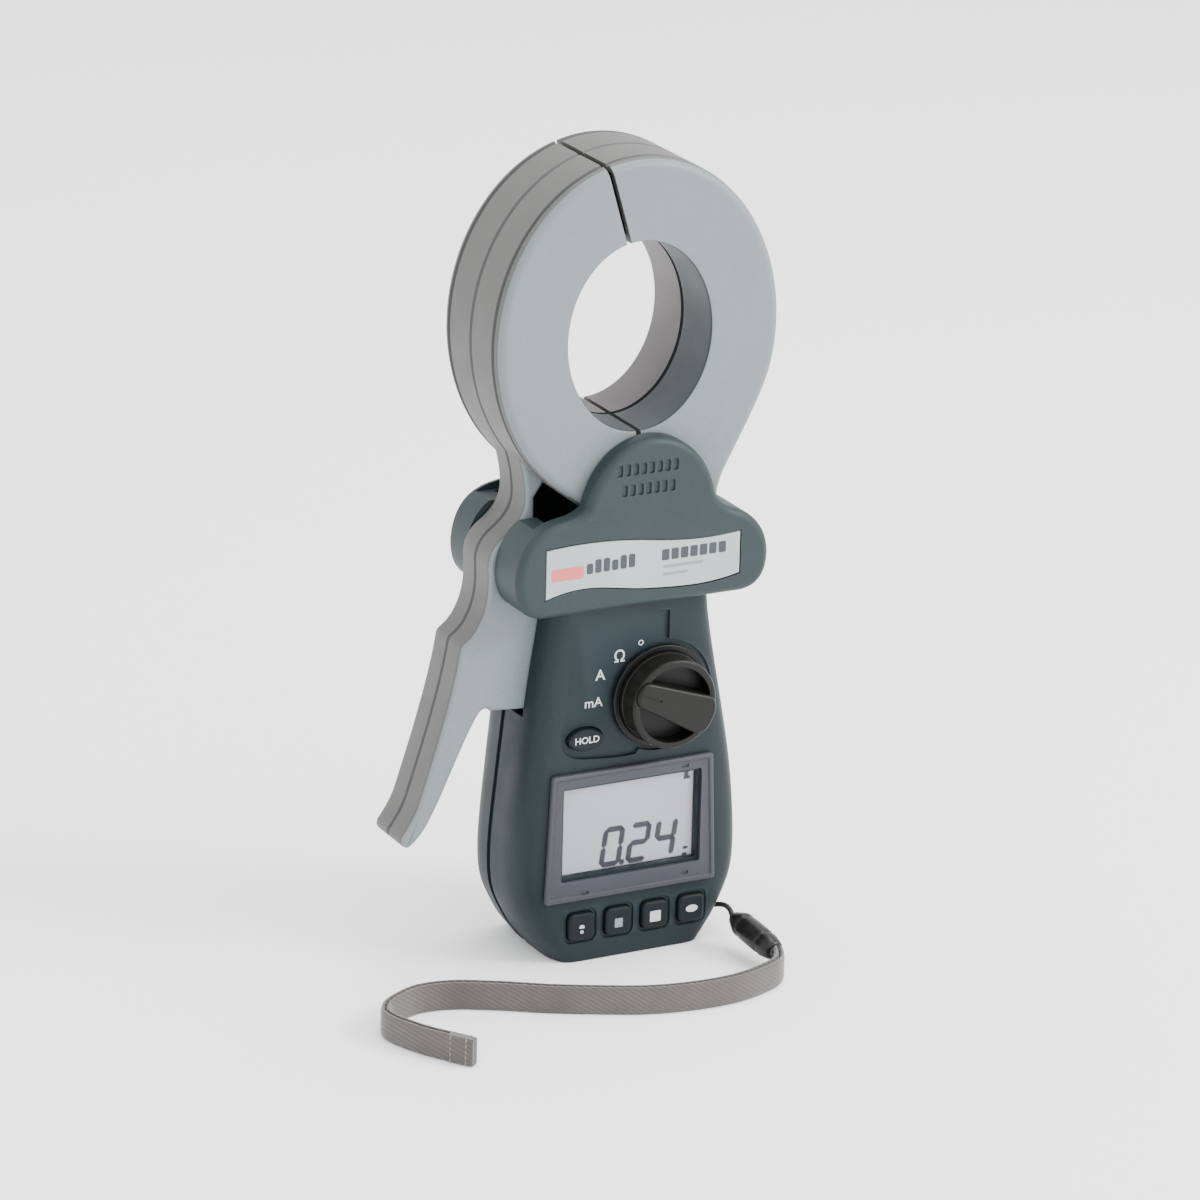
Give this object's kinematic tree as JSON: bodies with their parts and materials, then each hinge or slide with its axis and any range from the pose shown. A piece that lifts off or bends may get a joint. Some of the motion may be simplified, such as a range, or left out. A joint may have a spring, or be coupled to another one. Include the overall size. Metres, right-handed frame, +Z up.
{
  "type": "clamp meter",
  "caption": "Hand-held earth and leakage clamp tester with a lever-opened oval ring, hand guard, rotary selector, display, keys and wrist strap.",
  "frame": {"origin": "the middle of the flat foot under the body, on the surface the meter stands on, at the middle of the ring's depth", "axes": "+Z up along the body to the top of the ring, -Y out of the display, +X to the viewer's right, away from the lever"},
  "size_m": [0.147, 0.1044, 0.259],
  "materials": {
    "jaw": "fine moulded texture, light grey",
    "shell": "fine moulded texture, dark teal grey",
    "guard": "fine moulded texture, slate grey",
    "label": "satin silver foil",
    "frame": "satin grey",
    "knob": "satin black",
    "black": "satin black",
    "window": "clear polished plastic",
    "display": "grey liquid crystal",
    "board": "green solder mask",
    "steel": "plated steel",
    "core": "laminated steel",
    "copper": "taped copper winding",
    "battery": "printed can",
    "rubber": "soft matt",
    "webbing": "woven nylon"
  },
  "bodies": {
    "meter": {"fixed_jaw_front": "jaw", "fixed_jaw_rear": "jaw", "front_housing": "shell", "rear_housing": "shell", "guard_front": "guard", "guard_rear": "guard", "label_plate": "label", "display_frame": "frame", "knob_ring": "black", "buzzer": "black", "battery_snap": "black", "strap_slider": "black", "display_window": "window", "display_module": "display", "main_board": "board", "housing_screw_1": "steel", "housing_screw_2": "steel", "housing_screw_3": "steel", "housing_screw_4": "steel", "pivot_pin": "steel", "return_spring": "steel", "strap_post": "steel", "fixed_core": "core", "fixed_winding": "copper", "battery": "battery", "contact_strip_top": "rubber", "contact_strip_low": "rubber", "key_mat": "rubber", "strap_band": "webbing", "strap_cord": "webbing"},
    "moving_jaw": {"moving_jaw_front": "jaw", "moving_jaw_rear": "jaw", "moving_core": "core", "moving_winding": "copper"},
    "selector": {"selector_knob": "knob", "selector_rotor": "black"},
    "key_1": {"function_key_1": "black"},
    "key_2": {"function_key_2": "black"},
    "key_3": {"function_key_3": "black"},
    "key_4": {"function_key_4": "black"},
    "hold": {"hold_key": "black"},
    "battery_cover": {"battery_door": "shell", "battery_door_screw": "steel"}
  },
  "joints": [
    {"name": "jaw_opening", "type": "hinge", "parent": "meter", "child": "moving_jaw", "pos_m": [-0.03, 0, 0.13], "axis": [0, -1, 0], "range_deg": [0, 13], "stiffness_Nm_per_rad": 1, "springref_deg": -14.32},
    {"name": "selector_turn", "type": "hinge", "parent": "meter", "child": "selector", "pos_m": [0.0093, 0, 0.0857], "axis": [0, 1, 0], "range_deg": [-23, 44]},
    {"name": "key_1_press", "type": "slide", "parent": "meter", "child": "key_1", "axis": [0, 1, 0], "range_m": [0, 0.001], "stiffness_N_per_m": 600, "springref_m": -0.0006},
    {"name": "key_2_press", "type": "slide", "parent": "meter", "child": "key_2", "axis": [0, 1, 0], "range_m": [0, 0.001], "stiffness_N_per_m": 600, "springref_m": -0.0006},
    {"name": "key_3_press", "type": "slide", "parent": "meter", "child": "key_3", "axis": [0, 1, 0], "range_m": [0, 0.001], "stiffness_N_per_m": 600, "springref_m": -0.0006},
    {"name": "key_4_press", "type": "slide", "parent": "meter", "child": "key_4", "axis": [0, 1, 0], "range_m": [0, 0.001], "stiffness_N_per_m": 600, "springref_m": -0.0006},
    {"name": "hold_press", "type": "slide", "parent": "meter", "child": "hold", "axis": [0, 1, 0], "range_m": [0, 0.001], "stiffness_N_per_m": 600, "springref_m": -0.0006},
    {"name": "battery_door_lift", "type": "slide", "parent": "meter", "child": "battery_cover", "axis": [0, 1, 0], "range_m": [0, 0.02]}
  ]
}
